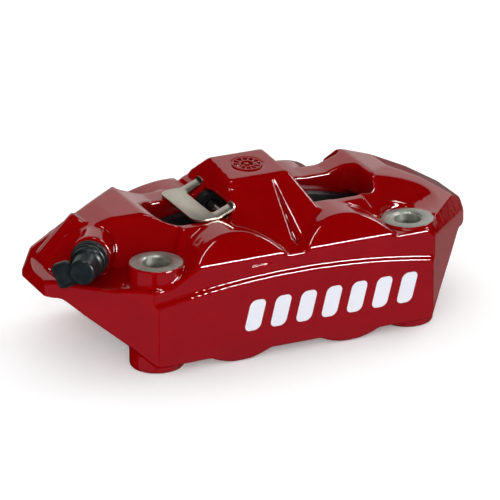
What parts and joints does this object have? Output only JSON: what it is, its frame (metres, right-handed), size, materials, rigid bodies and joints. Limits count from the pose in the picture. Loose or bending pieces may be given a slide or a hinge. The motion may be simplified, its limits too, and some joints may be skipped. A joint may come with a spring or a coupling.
{
  "type": "brake caliper",
  "caption": "Fixed disc brake caliper for a radial mount, with opposed pistons, pads in a central slot, pad spring and capped bleed screw.",
  "frame": {"origin": "midway between the two mounting bolt axes, on the plane of the boss feet", "axes": "+X along the caliper, +Y along the disc axis from the outboard to the inboard half, +Z away from the disc centre along the mounting bolts"},
  "size_m": [0.1695, 0.0784, 0.0584],
  "materials": {
    "body_paint": "gloss paint",
    "machined_face": "machined",
    "piston": "anodised",
    "seal_rubber": "matt",
    "backing_steel": "satin",
    "friction_material": "rough",
    "pin_steel": "satin",
    "clip_steel": "satin",
    "spring_steel": "satin",
    "screw_steel": "plated",
    "cap_rubber": "satin",
    "plug_steel": "satin",
    "graphic_white": "gloss"
  },
  "bodies": {
    "caliper": {"caliper_body": "body_paint", "pad_pin": "pin_steel", "pin_clip": "clip_steel", "pad_spring": "spring_steel", "gallery_plugs": "plug_steel", "pressure_seal_outboard_left": "seal_rubber", "pressure_seal_outboard_right": "seal_rubber", "pressure_seal_inboard_left": "seal_rubber", "pressure_seal_inboard_right": "seal_rubber", "dust_seal_outboard_left": "seal_rubber", "dust_seal_outboard_right": "seal_rubber", "dust_seal_inboard_left": "seal_rubber", "dust_seal_inboard_right": "seal_rubber"},
    "outboard_pad": {"outboard_backing_plate": "backing_steel", "outboard_friction_pad": "friction_material"},
    "inboard_pad": {"inboard_backing_plate": "backing_steel", "inboard_friction_pad": "friction_material"},
    "outboard_piston_left": {"outboard_piston_left": "piston"},
    "outboard_piston_right": {"outboard_piston_right": "piston"},
    "inboard_piston_left": {"inboard_piston_left": "piston"},
    "inboard_piston_right": {"inboard_piston_right": "piston"},
    "bleed_screw": {"bleed_screw": "screw_steel"},
    "bleed_cap": {"bleed_cap": "cap_rubber"}
  },
  "joints": [
    {"name": "outboard_pad_slide", "type": "slide", "parent": "caliper", "child": "outboard_pad", "axis": [0, 1, 0], "range_m": [-0.0006, 0.0027]},
    {"name": "inboard_pad_slide", "type": "slide", "parent": "caliper", "child": "inboard_pad", "axis": [0, -1, 0], "range_m": [-0.0006, 0.0027]},
    {"name": "outboard_piston_left_slide", "type": "slide", "parent": "caliper", "child": "outboard_piston_left", "axis": [0, 1, 0], "range_m": [-0.0006, 0.0027]},
    {"name": "outboard_piston_right_slide", "type": "slide", "parent": "caliper", "child": "outboard_piston_right", "axis": [0, 1, 0], "range_m": [-0.0006, 0.0027]},
    {"name": "inboard_piston_left_slide", "type": "slide", "parent": "caliper", "child": "inboard_piston_left", "axis": [0, -1, 0], "range_m": [-0.0006, 0.0027]},
    {"name": "inboard_piston_right_slide", "type": "slide", "parent": "caliper", "child": "inboard_piston_right", "axis": [0, -1, 0], "range_m": [-0.0006, 0.0027]},
    {"name": "bleed_screw_turn", "type": "hinge", "parent": "caliper", "child": "bleed_screw", "pos_m": [-0.068, 0.017, 0.038], "axis": [-0.5708, -0.8211, 0], "range_deg": [0, 180]},
    {"name": "bleed_cap_pull", "type": "slide", "parent": "caliper", "child": "bleed_cap", "axis": [-0.5708, -0.8211, 0], "range_m": [0, 0.016]}
  ],
  "couplings": [
    {"joint": "outboard_piston_left_slide", "follows": "outboard_pad_slide", "ratio": 1},
    {"joint": "outboard_piston_right_slide", "follows": "outboard_pad_slide", "ratio": 1},
    {"joint": "inboard_piston_left_slide", "follows": "inboard_pad_slide", "ratio": 1},
    {"joint": "inboard_piston_right_slide", "follows": "inboard_pad_slide", "ratio": 1}
  ]
}
